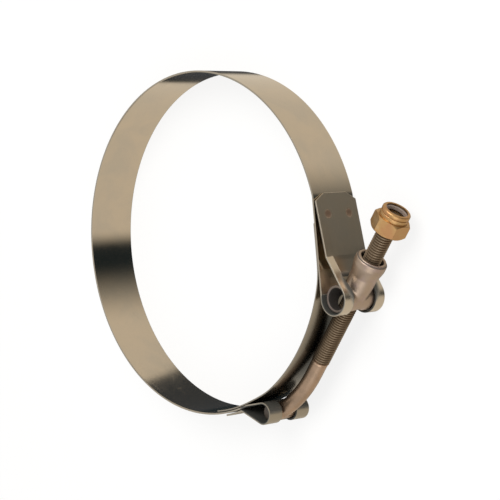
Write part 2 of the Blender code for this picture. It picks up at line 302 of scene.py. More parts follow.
def finish(name, **fixed):  # a metal or plastic material and the place on the piece
    material = bpy.data.materials.new(name)
    material.use_nodes = True
    tree = material.node_tree
    shader = tree.nodes["Principled BSDF"]
    wire = Wire(tree)
    for socket, value in fixed.items():
        wire.feed(shader.inputs[socket.replace("_", " ")], value)
    place = wire.node("TexCoord", out=3)
    return material, shader, place


def stretched(place, x, y, z):
    return place.node("Mapping", {"vector_type": "POINT"}, {"Vector": place, "Scale": (x, y, z)})


def noise(place, scale, detail=3.0, roughness=0.5, distortion=0.0):
    values = {"Vector": place, "Scale": scale, "Detail": detail, "Roughness": roughness}
    return place.node("TexNoise", None, {**values, "Distortion": distortion})


def fromPoint(place, point):  # how far a surface point is from a place
    return place.node("VectorMath", {"operation": "DISTANCE"}, {0: place, 1: tuple(point)}, out="Value")


def fromUpright(place, axis):  # how far it is from an upright axis
    flat = place.node("VectorMath", {"operation": "MULTIPLY"}, {0: place, 1: (1, 1, 0)})
    return fromPoint(flat, (axis.x, axis.y, 0))


def heightOf(place):
    return place.node("SeparateXYZ", None, {0: place}, "Z")


def offMiddle(place):  # how far it is above or below the middle of the width
    return place.maths("ABSOLUTE", heightOf(place) - midHeight)


def past(place, point, way):  # how far it lies this way past a point
    off = place.node("VectorMath", {"operation": "SUBTRACT"}, {0: place, 1: tuple(point)})
    return off.node("VectorMath", {"operation": "DOT_PRODUCT"}, {0: off, 1: tuple(way)}, out="Value")


def fromBolt(place):  # how far it is from the bolt's straight axis
    off = place.node("VectorMath", {"operation": "SUBTRACT"}, {0: place, 1: tuple(boltMatrix().translation)})
    across = off.node("VectorMath", {"operation": "CROSS_PRODUCT"}, {0: off, 1: tuple(boltWay)})
    return across.node("VectorMath", {"operation": "LENGTH"}, {0: across}, out="Value")


def bump(height, distance, strength=1.0, before=None):
    values = {"Height": height, "Distance": distance, "Strength": strength}
    if before:
        values["Normal"] = before
    return height.node("Bump", None, values)


def scratches(place, scale, turn, width):  # thin sparse lines that run one way
    values = {"Vector": place, "Rotation": turn, "Scale": (scale, scale * 0.06, scale)}
    laid = place.node("Mapping", None, values)
    cells = laid.node("TexVoronoi", {"feature": "DISTANCE_TO_EDGE"}, {"Vector": laid, "Scale": 1.0})
    return 1 - cells.between(width * 0.3, width)


bandFinish = {
    "steel": (0.56, 0.49, 0.395),
    "greyer": (0.50, 0.455, 0.385),
    "heat": (0.22, 0.14, 0.10),
    # near-black tone for painted shade in the loops, the slots and behind the neck
    "paintedShade": (0.035, 0.038, 0.036),
    # darker tone for the cut edges, and for painted shade round the cross head's loop
    "darkEdgeAndShade": (0.23, 0.21, 0.17),
    "heatRadius": 0.0021,
    "roughness": 0.13,
    "foldedDull": 0.17,
}


def weldHeat(place):  # straw to brown rings round the four spot welds
    radius, heat = bandFinish["heatRadius"], None
    for spot, out in bandDimples():
        for side in (-1, 1):
            centre = spot + out * halfThick + Vector((0, 0, midHeight + side * band["weldSpacing"] / 2))
            ring = 1 - fromPoint(place, centre).between(radius * 0.45, radius)
            heat = ring if heat is None else heat + ring
    return heat


def loopShade(place):  # painted shade on the loops' inner walls, in the wedge between the head loop's legs, at the slots' cuts, over the cross head and on the prongs behind the neck
    walls = 1 - fromUpright(place, crossHead).between(headLoop - 0.0001, headLoop + 0.0001)
    walls = walls + (1 - fromUpright(place, barrel).between(nutLoop - 0.0001, nutLoop + 0.0001))
    wedge = 1 - fromUpright(place, crossHead).between(0.010, 0.012)
    for top, touch in ((headLegTop, upperTouch), (headFlapTop, lowerTouch)):
        way = (crossHead + polar(headLoop, touch) - top).normalized()
        inward = Vector((way.y, -way.x, 0))
        inward = inward * (1 if (crossHead - top).dot(inward) > 0 else -1)
        wedge = wedge * past(place, top, inward).between(0.0, 0.0002)
    towards = ((headLegTop + headFlapTop) / 2 - crossHead).normalized()
    wedge = wedge * past(place, crossHead, towards).between(0.0, 0.0004)
    walls = place.maths("MAXIMUM", walls, wedge)
    off = offMiddle(place)
    nutSlot = plan["width"] / 2 - band["prongWidth"]
    for axis, radius, slotHalf in ((barrel, nutLoop, nutSlot), (crossHead, headLoop, band["headSlot"] / 2)):
        atCut = off.between(slotHalf - 0.0002, slotHalf) * (1 - off.between(slotHalf, slotHalf + 0.00025))
        walls = walls + atCut * (1 - fromUpright(place, axis).between(radius + 0.0006, radius + 0.0009))
    north = place.node("SeparateXYZ", None, {0: place}, "Y")
    corner = atCrossHead(place) * north.between(crossHead.y - 0.0004, crossHead.y + 0.0014)
    corner = corner * (1 - off.between(plan["width"] / 2 - 0.0005, plan["width"] / 2 - 0.0001))
    neck = past(place, boltMatrix().translation, boltWay).between(0.0012, 0.0026)
    neck = neck * (1 - fromBolt(place).between(0.0066, 0.0086))
    neck = neck * (1 - fromUpright(place, barrel).between(0.0075, 0.0095))
    return place.maths("MINIMUM", walls * 0.95 + corner * 0.9 + neck * 0.9, 0.96)


def atCrossHead(place):
    return 1 - fromUpright(place, crossHead).between(headLoop + 0.0005, headLoop + 0.0009)


def makeBandSteel(name):  # bright rolled strip: fine lines along the strip, smears and light scratches, heat rings round the welds, darker cut edges, and painted shade in and round the loops
    material, shader, place = finish(name)
    lines = noise(stretched(place, 30, 30, 5200), 1.0, 4.0, 0.6)
    broadLines = noise(stretched(place, 12, 12, 900), 1.0, 2.0)
    smears = noise(place, 55, 5.0, 0.6, 0.4)
    marks = scratches(place, 160, (0.3, 0.5, 0.7), 0.02) * noise(place, 90).between(0.52, 0.66)
    heat, shadeMask = weldHeat(place), loopShade(place)
    folded = fromUpright(place, ringCentre).between(ringOutside + 0.0001, ringOutside + 0.0003)
    cut = offMiddle(place).between(plan["width"] / 2 - 0.0001, plan["width"] / 2)
    tone = mixed(smears.between(0.35, 0.7), bandFinish["steel"], bandFinish["greyer"])
    tone = mixed(heat * 0.85, tone, bandFinish["heat"])
    # the cut edges darker, and painted shade over the cross head's loop
    tone = mixed(place.maths("MAXIMUM", atCrossHead(place) * 0.7, cut * 0.5), tone, bandFinish["darkEdgeAndShade"])
    # painted shade: near black on the loops' walls, the slots' cuts, the corner over the cross head and the
    # prongs behind the neck
    tone = mixed(shadeMask, tone, bandFinish["paintedShade"])
    dull = bandFinish["roughness"] + (lines - 0.5) * 0.10 + (smears - 0.5) * 0.10 + marks * 0.10
    dull = dull + heat * 0.22 + folded * bandFinish["foldedDull"] + shadeMask * 0.3
    wire = Wire(material.node_tree)
    wire.feed(shader.inputs["Base Color"], tone)
    wire.feed(shader.inputs["Roughness"], dull)
    wire.feed(shader.inputs["Metallic"], 1 - shadeMask * 0.8)
    normal = bump(lines + broadLines * 0.8, 0.000004, 0.35)
    normal = bump(marks, 0.00001, 0.4, normal)
    wire.feed(shader.inputs["Normal"], bump(noise(place, 42, 1.0), 0.0003, 0.10, normal))
    return material


bridgeFinish = {
    # darker than the band's steel, partly as painted shade from the bolt over it
    "steel": (0.31, 0.28, 0.235),
    "shadowed": (0.022, 0.03, 0.034),
    "roughness": 0.24,
    "reach": 0.0105,            # of the dark from the bolt's axis
}


def makeBridgeSteel(name):  # the same strip, duller, on a darker base that is partly painted shade, with painted shade and a painted reflection of the bolt's underside where the bolt lies over it
    material, shader, place = finish(name, Metallic=1.0)
    lines = noise(stretched(place, 30, 30, 5200), 1.0, 4.0, 0.6)
    smears = noise(place, 55, 5.0, 0.6, 0.4)
    near = 1 - fromBolt(place).between(bolt["radius"], bridgeFinish["reach"])
    # painted shade and painted reflection of the bolt, darkest next to its axis
    tone = mixed(near ** 0.7 * 0.95 + (smears - 0.5) * 0.2, bridgeFinish["steel"], bridgeFinish["shadowed"])
    wire = Wire(material.node_tree)
    wire.feed(shader.inputs["Base Color"], tone)
    dull = bridgeFinish["roughness"] + (lines - 0.5) * 0.1 + (smears - 0.5) * 0.1
    wire.feed(shader.inputs["Roughness"], dull)
    wire.feed(shader.inputs["Normal"], bump(lines, 0.000004, 0.35))
    return material


boltFinish = {
    "shank": (0.39, 0.275, 0.195),
    "dark": (0.32, 0.23, 0.165),
    "thread": (0.235, 0.185, 0.13),
    # painted shade for the cross bar's ends inside the loop
    "paintedShade": (0.04, 0.035, 0.03),
    "roughness": 0.36,
}


def makeBoltSteel(name):  # satin rod, the threaded length darker with painted shade in the thread's roots, and painted shade on the cross bar's ends inside the loop
    material, shader, place = finish(name)
    lengthways = place.node("Mapping", None, {"Vector": place, "Rotation": (0, 0, -radians(boltHeading))})
    draw = noise(stretched(lengthways, 90, 2600, 2600), 1.0, 3.0)
    clouds = noise(place, 240, 5.0, 0.6)
    pits = noise(place, 2600, 2.0).between(0.62, 0.72)
    deep = place.node("Attribute", {"attribute_name": "depth"}, out=2)
    tone = mixed(clouds.between(0.38, 0.68), boltFinish["shank"], boltFinish["dark"])
    # the threaded length darker, with painted shade deepest in the roots
    tone = mixed(deep, tone, boltFinish["thread"])
    # painted shade on the cross bar past the slot, inside the loop
    barShade = 1 - fromUpright(place, crossHead).between(plan["headRadius"], plan["headRadius"] + 0.0004)
    barShade = barShade * offMiddle(place).between(band["headSlot"] / 2, band["headSlot"] / 2 + 0.0004)
    tone = mixed(barShade * 0.9, tone, boltFinish["paintedShade"])
    wire = Wire(material.node_tree)
    wire.feed(shader.inputs["Metallic"], 1 - barShade * 0.85)
    wire.feed(shader.inputs["Base Color"], tone)
    dull = boltFinish["roughness"] + (clouds - 0.5) * 0.16 + pits * 0.15 + deep * 0.12
    wire.feed(shader.inputs["Roughness"], dull)
    wire.feed(shader.inputs["Normal"], bump(draw + pits * -0.6 + clouds, 0.00001, 0.5))
    return material


trunnionFinish = {
    "steel": (0.385, 0.30, 0.235),
    "dark": (0.315, 0.245, 0.195),
    "mauve": (0.38, 0.29, 0.26),
    # near-black tone for painted shade in the trunnion's hollows
    "paintedShade": (0.03, 0.028, 0.026),
    "roughness": 0.38,
}


def makeTrunnionSteel(name):  # tumbled steel: soft waves, tiny pits, smears, and painted shade in the bore, the bolt hole, the collar's groove and towards the barrel's ends
    material, shader, place = finish(name)
    waves = noise(place, 380, 2.0)
    clouds = noise(place, 150, 5.0, 0.62)
    pits = noise(place, 3000, 2.0).between(0.6, 0.7)
    # painted shade in the hollows, from the attribute painted on the mesh
    inside = place.node("Attribute", {"attribute_name": "inside"}, out=2)
    tone = mixed(clouds.between(0.42, 0.72), trunnionFinish["steel"], trunnionFinish["dark"])
    tone = mixed(noise(place, 260, 2.0).between(0.52, 0.62) * 0.7, tone, trunnionFinish["mauve"])
    tone = mixed(inside * 0.95, tone, trunnionFinish["paintedShade"])
    wire = Wire(material.node_tree)
    wire.feed(shader.inputs["Base Color"], tone)
    wire.feed(shader.inputs["Metallic"], 1 - inside * 0.7)
    dull = trunnionFinish["roughness"] + (clouds - 0.5) * 0.2 + pits * 0.12 + inside * 0.3
    wire.feed(shader.inputs["Roughness"], dull)
    wire.feed(shader.inputs["Normal"], bump(pits, 0.000008, 0.5, bump(waves, 0.00006, 0.22)))
    return material


nutFinish = {
    "gold": (0.46, 0.285, 0.125),
    "rose": (0.44, 0.235, 0.11),
    "straw": (0.52, 0.385, 0.23),
    "roughness": 0.38,
}


def makeYellowZinc(name):  # passivated plate: gold that drifts to rose and straw
    material, shader, place = finish(name, Metallic=1.0)
    drift = noise(place, 130, 3.0, 0.5, 0.6)
    fine = noise(place, 700, 3.0)
    grain = noise(place, 4200, 2.0)
    tone = drift.node(
        "ValToRGB",
        {"stops": [(0.32, nutFinish["rose"]), (0.5, nutFinish["gold"]), (0.72, nutFinish["straw"])]},
        {"Fac": drift + (fine - 0.5) * 0.3},
    )
    wire = Wire(material.node_tree)
    wire.feed(shader.inputs["Base Color"], tone)
    wire.feed(shader.inputs["Roughness"], nutFinish["roughness"] + (fine - 0.5) * 0.18)
    wire.feed(shader.inputs["Normal"], bump(grain + fine, 0.000008, 0.5))
    return material


nylonFinish = {"light": (0.30, 0.235, 0.195), "dark": (0.19, 0.15, 0.125)}


def makeNylon(name):
    material, shader, place = finish(name, Roughness=0.5)
    cloud = noise(place, 500, 3.0)
    wire = Wire(material.node_tree)
    wire.feed(shader.inputs["Base Color"], mixed(cloud, nylonFinish["light"], nylonFinish["dark"]))
    wire.feed(shader.inputs["Normal"], bump(cloud, 0.00002, 0.3))
    return material


# band

band = {
    "ringStep": 1.0,            # degrees
    "loopStep": 6.0,
    "prongWidth": 0.0043,       # beside the nut's slot at the barrel
    "prongRoot": 0.0030,        # and at the bend, where the slot is wider
    "prongFlare": 0.006,        # they widen over this length before the barrel
    "slotBack": 0.003,
    "legAngle": 16.29,
    "flapAngle": 16.99,
    "prongAngle": 33.3,
    "prongLength": 0.0129,
    "tongueLength": 0.0068,
    "tongueTip": 0.0056,
    "tongueHeading": -84.0,
    "headSlot": 0.0069,
    "headLegAngle": -66.49,
    "headFlapStart": -69.49,
    "headFlapEnd": -79.49,
    "cornerAcross": 0.0043,
    "cornerAlong": 0.0025,
    "weldBack": 0.0072,         # from the end of the nut's flap
    "headWeldBack": 0.0042,
    "weldSpacing": 0.010,
    "dimpleRadius": 0.0015,
    "dimpleDepth": 0.0002,
    "edgeRound": 0.00012,
}
nutLoop = plan["barrelRadius"] + plan["gap"] + halfThick
headLoop = plan["headRadius"] + plan["gap"] + halfThick
flapLine = ringOutside + plan["gap"] + halfThick
bend = barrel + polar(nutLoop, band["prongAngle"]) + polar(band["prongLength"], band["prongAngle"] + 90)
nutFlapEnd = ringCentre + polar(flapLine, band["flapAngle"])
headFlapEnd = ringCentre + polar(flapLine, band["headFlapEnd"])
legTop = ringCentre + polar(ringLine, band["legAngle"])
legTouch = touchAngle(legTop, barrel, nutLoop, 1)
legFoot = barrel + polar(nutLoop, legTouch)
legWay = (legTop - legFoot).normalized()
legOut = Vector((legWay.y, -legWay.x, 0))
headLegTop = ringCentre + polar(ringLine, band["headLegAngle"])
headFlapTop = ringCentre + polar(flapLine, band["headFlapStart"])
upperTouch = touchAngle(headLegTop, crossHead, headLoop, -1)
lowerTouch = touchAngle(headFlapTop, crossHead, headLoop, 1)


def cutCorners(bm, layer, end, inward, width, first, last):  # both corners of an end, between two lengths
    across, along = band["cornerAcross"], band["cornerAlong"]
    for side in (-1, 1):
        start = end + inward * along + Vector((0, 0, midHeight + side * width / 2))
        normal = Vector((-inward.x * across, -inward.y * across, side * along)).normalized()
        near = [f for f in bm.faces if all(first - 1e-6 < v[layer] < last + 1e-6 for v in f.verts)]
        geom = list(set(near) | {e for f in near for e in f.edges} | {v for f in near for v in f.verts})
        bmesh.ops.bisect_plane(
            bm, geom=geom, dist=1e-6, plane_co=start, plane_no=normal, clear_outer=True
        )


def openSlot(bm, layer, start, end, half):
    removed = [
        f for f in bm.faces
        if start < sum(v[layer] for v in f.verts) / 4 < end
        and abs(f.calc_center_median().z - midHeight) < half
    ]
    bmesh.ops.delete(bm, geom=removed, context="FACES")


def bandDimples():  # where the welds are, and the way out of the strip there
    flapWay = (bend - nutFlapEnd).normalized()
    headOut = polar(1, band["headFlapEnd"] + degrees(band["headWeldBack"] / flapLine))
    return [
        (nutFlapEnd + flapWay * band["weldBack"], Vector((-flapWay.y, flapWay.x, 0))),
        (ringCentre + headOut * flapLine, headOut),
    ]


def makeBand():
    pen = Pen(nutFlapEnd)
    pen.line(bend + (nutFlapEnd - bend).normalized() * 0.0006, 8)
    slotStart = pen.line(bend)
    prongFoot = barrel + polar(nutLoop, band["prongAngle"])
    prongEnd = pen.line(prongFoot, 14)
    pen.arc(barrel, legTouch - 360 - band["prongAngle"], band["loopStep"])
    slotEnd = pen.line(legFoot + legWay * band["slotBack"], 2)
    pen.line(legTop, 3)
    pen.arc(ringCentre, 360 + band["headLegAngle"] - band["legAngle"], band["ringStep"])
    headSlotStart = pen.line(crossHead + polar(headLoop, upperTouch), 2)
    headSlotEnd = pen.arc(crossHead, (lowerTouch - upperTouch) % 360 - 360, band["loopStep"])
    pen.line(headFlapTop, 2)
    pen.arc(ringCentre, band["headFlapEnd"] - band["headFlapStart"], band["ringStep"])

    low = midHeight - plan["width"] / 2
    lower = [low, low + band["prongWidth"], midHeight - band["headSlot"] / 2]
    bm = pen.drawUp(lower + [2 * midHeight - height for height in reversed(lower)])
    layer = pen.layer
    openSlot(bm, layer, slotStart, slotEnd, midHeight - low - band["prongWidth"])
    openSlot(bm, layer, headSlotStart, headSlotEnd, band["headSlot"] / 2)

    # the prongs narrow towards the bend, where the tongue is drawn out of the slot's end
    edge = plan["width"] / 2 - band["prongWidth"]
    for vert in bm.verts:
        offset = vert.co.z - midHeight
        if slotStart - 1e-5 < vert[layer] < prongEnd and abs(abs(offset) - edge) < 1e-5:
            share = ease((prongEnd - vert[layer]) / band["prongFlare"])
            wide = edge + (band["prongWidth"] - band["prongRoot"]) * share
            vert.co.z = midHeight + wide * (1 if offset > 0 else -1)
    root = {
        v for v in bm.verts
        if abs(v[layer] - slotStart) < 1e-6 and abs(v.co.z - midHeight) < edge + 0.002
    }
    edges = [e for e in bm.edges if set(e.verts) <= root]
    rootHalf = max(abs(v.co.z - midHeight) for v in root)
    for share in (0.2, 0.45, 0.7, 0.88, 1.0):
        place = bend + polar(band["tongueLength"] * share, band["tongueHeading"])
        drawn = bmesh.ops.extrude_edge_only(bm, edges=edges)["geom"]
        edges = [e for e in edgesOf(drawn) if all(v in drawn for v in e.verts)]
        half = rootHalf + (band["tongueTip"] / 2 - rootHalf) * share
        verts = vertsOf(drawn)
        widest = max(abs(v.co.z - midHeight) for v in verts)
        for vert in verts:
            vert.co = (place.x, place.y, midHeight + (vert.co.z - midHeight) * half / widest)

    cutCorners(bm, layer, nutFlapEnd, (bend - nutFlapEnd).normalized(), plan["width"], 0, 0.006)
    headWay = polar(1, band["headFlapEnd"] + 90)
    cutCorners(bm, layer, headFlapEnd, headWay, plan["width"], pen.along - 0.006, pen.along)
    bmesh.ops.delete(bm, geom=[v for v in bm.verts if not v.link_faces], context="VERTS")
    bmesh.ops.recalc_face_normals(bm, faces=bm.faces)
    piece = newPiece("bandStrip", bm, bandSteel)
    thicken(piece, plan["thickness"])
    roundEdges(piece, band["edgeRound"], 50)
    tools = []
    ball = (band["dimpleRadius"] ** 2 + band["dimpleDepth"] ** 2) / (2 * band["dimpleDepth"])
    for spot, out in bandDimples():
        for side in (-1, 1):
            centre = spot + out * (halfThick + ball - band["dimpleDepth"])
            centre = centre + Vector((0, 0, midHeight + side * band["weldSpacing"] / 2))
            tool = bmesh.new()
            bmesh.ops.create_uvsphere(tool, u_segments=72, v_segments=48, radius=ball)
            bmesh.ops.translate(tool, verts=tool.verts, vec=centre)
            tools.append(newPiece("dimple", tool, None))
            cutOrJoin(piece, tools[-1], "DIFFERENCE")
    settle(piece, 12)
    dropTools(*tools)
    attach(piece, "band")
    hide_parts("band")


bandSteel = makeBandSteel("rolledBandSteel")
makeBand()
print("band made")


bridge = {
    "width": 0.018,
    "thickness": 0.0005,
    "standIn": 0.0002,          # past the gap its inner face stands this far inside the band
    "tipAngle": 10.294,
    "endAngle": -81.995,
    "softness": 0.0008,
    "stepStart": -66.0,
    "stepEnd": -54.0,
    "step": 1.0,
    "edgeRound": 0.00010,
}


def makeBridge():
    half = bridge["thickness"] / 2
    underBand = plan["ringRadius"] - plan["gap"] - half
    ownLine = plan["ringRadius"] - bridge["standIn"] + half
    legDistance = (legTop - ringCentre).dot(legOut) - halfThick - plan["gap"] - half
    legNormal = degrees(atan2(legOut.y, legOut.x))
    count = round((bridge["tipAngle"] - bridge["endAngle"]) / bridge["step"])
    pen = None
    for i in range(count + 1):
        angle = bridge["endAngle"] + (bridge["tipAngle"] - bridge["endAngle"]) * i / count
        share = ease((angle - bridge["stepStart"]) / (bridge["stepEnd"] - bridge["stepStart"]))
        circle = underBand + (ownLine - underBand) * share
        line = legDistance / max(cos(radians(angle - legNormal)), 0.1)
        radius = (circle + line - sqrt((circle - line) ** 2 + bridge["softness"] ** 2)) / 2
        place = ringCentre + polar(radius, angle)
        if pen:
            pen.line(place)
        else:
            pen = Pen(place)
    tip, before = place, ringCentre + polar(radius, angle - 1)
    low = midHeight - bridge["width"] / 2
    bm = pen.drawUp([low, midHeight, low + bridge["width"]])
    inward = (before - tip).normalized()
    cutCorners(bm, pen.layer, tip, inward, bridge["width"], pen.along - 0.006, pen.along)
    bmesh.ops.delete(bm, geom=[v for v in bm.verts if not v.link_faces], context="VERTS")
    bmesh.ops.recalc_face_normals(bm, faces=bm.faces)
    piece = newPiece("bridgeStrip", bm, bridgeSteel)
    thicken(piece, bridge["thickness"])
    roundEdges(piece, bridge["edgeRound"], 50)
    settle(piece, 40)
    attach(piece, "band")
    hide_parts("bridge")


bolt = {
    "radius": 0.0031,           # over the crests
    "rootRadius": 0.00256,
    "pitch": 0.000907,          # 28 threads to the inch
    "shankRadius": 0.00285,
    "bowRun": 0.021,
    "bowSteps": 30,
    "sides": 48,
    "threadStart": -0.0268,     # along the bolt from the barrel
    "runOut": 0.0014,
    "end": 0.0332,
    "endBevel": 0.0007,
    "headRecess": 0.0034,
    "headRound": 0.0006,
    "headSides": 64,
}


def makeBolt():
    bow = 2 * atan2(plan["boltBow"], bolt["bowRun"])
    heading = radians(boltHeading) - bow
    start = crossHead + Vector((0, 0, midHeight))
    bowCentre = start + polar(bolt["bowRun"] / sin(bow), degrees(heading) + 90)
    bm = bmesh.new()
    bmesh.ops.create_circle(
        bm, cap_ends=True, segments=bolt["sides"], radius=bolt["shankRadius"],
        matrix=laidMatrix(start, heading),
    )
    spun = bmesh.ops.spin(
        bm, geom=bm.edges[:], cent=bowCentre, axis=(0, 0, 1), angle=bow, steps=bolt["bowSteps"]
    )
    straightStart = bolt["bowRun"] - sqrt(link.length**2 - plan["boltBow"] ** 2)
    drawn = bmesh.ops.extrude_edge_only(bm, edges=edgesOf(spun["geom_last"]))["geom"]
    step = boltWay * (bolt["threadStart"] - bolt["runOut"] - straightStart)
    bmesh.ops.translate(bm, verts=vertsOf(drawn), vec=step)

    # the thread: one pitch of its outline, turned as a screw from below its start to past its end
    screw = bmesh.new()
    low, pitch = bolt["threadStart"] - bolt["runOut"] - bolt["pitch"] * 2, bolt["pitch"]
    root, crest = bolt["rootRadius"], bolt["radius"]
    verts = [
        bmesh.ops.create_vert(screw, co=(radius, 0, low + share * pitch))["vert"][0]
        for share, radius in ((0, root), (0.23, root), (0.56, crest), (0.69, crest), (1.0, root))
    ]
    for pair in zip(verts, verts[1:]):
        bmesh.ops.contextual_create(screw, geom=list(pair))
    turns = int((bolt["end"] - low) / pitch) + 2
    bmesh.ops.spin(
        screw,
        geom=screw.verts[:] + screw.edges[:],
        cent=(0, 0, 0),
        axis=(0, 0, 1),
        dvec=(0, 0, pitch / bolt["sides"]),
        angle=2 * pi * turns,
        steps=turns * bolt["sides"],
    )
    bmesh.ops.remove_doubles(screw, verts=screw.verts, dist=2e-6)
    for vert in screw.verts:
        radius = Vector(vert.co.xy).length
        rise = ease((vert.co.z - bolt["threadStart"] + bolt["runOut"]) / bolt["runOut"])
        wanted = bolt["shankRadius"] + (radius - bolt["shankRadius"]) * rise
        cone = bolt["radius"] - (vert.co.z - bolt["end"] + bolt["endBevel"])
        wanted = min(wanted, cone)
        vert.co.xy = Vector(vert.co.xy) * (wanted / radius)
    for height, side in ((bolt["threadStart"] - bolt["runOut"] + 0.0002, -1), (bolt["end"], 1)):
        bmesh.ops.bisect_plane(
            screw, geom=screw.verts[:] + screw.edges[:] + screw.faces[:], dist=1e-7, plane_co=(0, 0, height),
            plane_no=(0, 0, side), clear_outer=True,
        )
    bmesh.ops.transform(screw, matrix=boltMatrix(), verts=screw.verts)
    top = max(v.co.dot(boltWay) for v in screw.verts)
    joined = bpy.data.meshes.new("screw")
    screw.to_mesh(joined)
    screw.free()
    bm.from_mesh(joined)
    openEdges = [e for e in bm.edges if e.is_boundary]
    lastLoop = [e for e in openEdges if all(v.co.dot(boltWay) > top - 1e-6 for v in e.verts)]
    bmesh.ops.bridge_loops(bm, edges=[e for e in openEdges if e not in lastLoop])
    rim = bmesh.ops.extrude_edge_only(bm, edges=lastLoop)["geom"]
    tipCentre = boltMatrix(bolt["end"]).translation
    bmesh.ops.scale(bm, verts=vertsOf(rim), vec=(0.96, 0.96, 0.96), space=Matrix.Translation(-tipCentre))
    bmesh.ops.edgeloop_fill(bm, edges=edgesOf(rim))
    bmesh.ops.recalc_face_normals(bm, faces=bm.faces)
    piece = newPiece("boltThreaded", bm, boltSteel)

    length = plan["width"] - 2 * bolt["headRecess"]
    radius = plan["headRadius"]
    outline = [(0, 0), (radius, 0), (radius, length), (0, length)]
    outline = rounded(outline, {1: bolt["headRound"], 2: bolt["headRound"]})
    foot = crossHead + Vector((0, 0, midHeight - length / 2))
    head = turned("headBar", outline, bolt["headSides"], Matrix.Translation(foot))
    cutOrJoin(piece, head, "UNION")
    settle(piece, 35)
    dropTools(head)
    axisPoint = boltMatrix().translation

    def depthAt(place):
        off = place - axisPoint
        along = off.dot(boltWay)
        if along < bolt["threadStart"]:
            return 0.0
        radius = (off - boltWay * along).length
        # the whole thread darker, rising to full painted shade in the roots
        return 0.7 + 0.3 * min(max((crest - radius) / (crest - root), 0), 1)
    paint(piece, "depth", depthAt)
    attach(piece, "t_bolt")
    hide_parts("t_bolt")


boltSteel = makeBoltSteel("rolledBoltSteel")
bridgeSteel = makeBridgeSteel("rolledBridgeSteel")
makeBridge()
print("bridge made")
makeBolt()
print("bolt made")


trunnion = {
    "boreRadius": 0.00365,
    "recess": 0.0016,
    "rimRound": 0.00035,
    "holeRadius": 0.00395,
    "rootRadius": 0.0043,       # of the neck, on the barrel's axis
    "rootLength": 0.0040,
    "neckRadius": 0.0046,
    "neckTop": 0.0092,
    "collarRadius": 0.0055,
    "collarBase": 0.0132,
    "collarTop": 0.0162,
    "collarRound": 0.0003,
    "shoulderDrop": 0.00045,    # the lip round the mouth stands over the collar's shoulder
    "groove": 0.0002,
    "lipRadius": 0.0050,
    "lipRound": 0.00025,
    "mouthRadius": 0.0042,
    "mouthDepth": 0.0006,
    "voxel": 0.00016,
    "softTimes": 35,
    "sides": 96,
}


def makeTrunnion():
    t = trunnion
    shoulder, lip = t["collarTop"] - t["shoulderDrop"], t["lipRadius"]
    outline = [
        (0, 0), (t["rootRadius"], 0), (t["neckRadius"], t["rootLength"]), (t["neckRadius"], t["neckTop"]),
        (t["collarRadius"], t["collarBase"]), (t["collarRadius"], shoulder), (lip, shoulder - t["groove"]),
        (lip, t["collarTop"]), (0, t["collarTop"]),
    ]
    rounds = {3: 0.0015, 4: 0.0012, 5: t["collarRound"], 7: t["lipRound"]}
    piece = turned("trunnionBody", rounded(outline, rounds), t["sides"], boltMatrix(), trunnionSteel)
    length = plan["width"] - 2 * t["recess"]
    radius = plan["barrelRadius"]
    upright = Matrix.Translation(barrel + Vector((0, 0, midHeight - length / 2)))
    barrelOutline = rounded(
        [(0, 0), (radius, 0), (radius, length), (0, length)], {1: t["rimRound"], 2: t["rimRound"]}
    )
    tube = turned("barrelTube", barrelOutline, t["sides"], upright)
    boreRadius, rim = t["boreRadius"], t["rimRound"] * 0.6
    boreOutline = [
        (0, -0.001), (boreRadius + rim + 0.001, -0.001), (boreRadius + rim, 0), (boreRadius, rim),
        (boreRadius, length - rim), (boreRadius + rim, length), (boreRadius + rim + 0.001, length + 0.001),
        (0, length + 0.001),
    ]
    bore = turned("barrelBore", boreOutline, t["sides"], upright)
    top = t["collarTop"]
    holeOutline = [
        (0, -0.007), (t["holeRadius"], -0.007), (t["holeRadius"], top - t["mouthDepth"]),
        (t["mouthRadius"], top), (t["mouthRadius"], top + 0.0003), (0, top + 0.0003),
    ]
    hole = turned("boltHole", holeOutline, t["sides"], boltMatrix())
    for tool, operation in ((tube, "UNION"), (bore, "DIFFERENCE"), (hole, "DIFFERENCE")):
        cutOrJoin(piece, tool, operation)
    remesh = piece.modifiers.new("tumbled", "REMESH")
    remesh.mode, remesh.voxel_size = "VOXEL", t["voxel"]
    soft = piece.modifiers.new("soft", "SMOOTH")
    soft.factor, soft.iterations = 0.5, 10
    settle(piece, 180)
    dropTools(tube, bore, hole)
    axisPoint = boltMatrix().translation

    # the neck runs into the barrel in a soft hollow
    bm = bmesh.new()
    bm.from_mesh(piece.data)
    soft = [
        v for v in bm.verts
        if radius * 0.9 < (v.co.xy - barrel.xy).length < radius + 0.0022
        and abs(v.co.z - midHeight) < t["neckRadius"] + 0.0014
        and (v.co - axisPoint).cross(boltWay).length > t["neckRadius"] - 0.0018
    ]
    for _ in range(t["softTimes"]):
        bmesh.ops.smooth_vert(bm, verts=soft, factor=0.5, use_axis_x=True, use_axis_y=True, use_axis_z=True)
    bm.to_mesh(piece.data)
    bm.free()

    # painted shade: darkest in the bore and the bolt hole, in the collar's groove, and towards the barrel's
    # ends
    def hollowShadeAt(place):
        fromBarrel = (place.xy - barrel.xy).length
        off = place - axisPoint
        along = off.dot(boltWay)
        fromAxis = (off - boltWay * along).length
        deepBore = 1 - ease((fromBarrel - boreRadius) / 0.0004)
        deepHole = 1 - ease((fromAxis - t["holeRadius"] - 0.0001) / 0.0003)
        deepHole = deepHole * ease((top - along - 0.0002) / 0.0006)
        inGroove = ease((fromAxis - lip + 0.0001) / 0.0002) * ease((along - shoulder + 0.0003) / 0.0002)
        atEnd = ease((abs(place.z - midHeight) - length / 2 + 0.0006) / 0.0003)
        return max(deepBore, deepHole, inGroove * 0.9, atEnd * 0.7)
    paint(piece, "inside", hollowShadeAt)
    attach(piece, "trunnion")
    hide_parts("trunnion")


trunnionSteel = makeTrunnionSteel("tumbledTrunnionSteel")
makeTrunnion()
print("trunnion made")


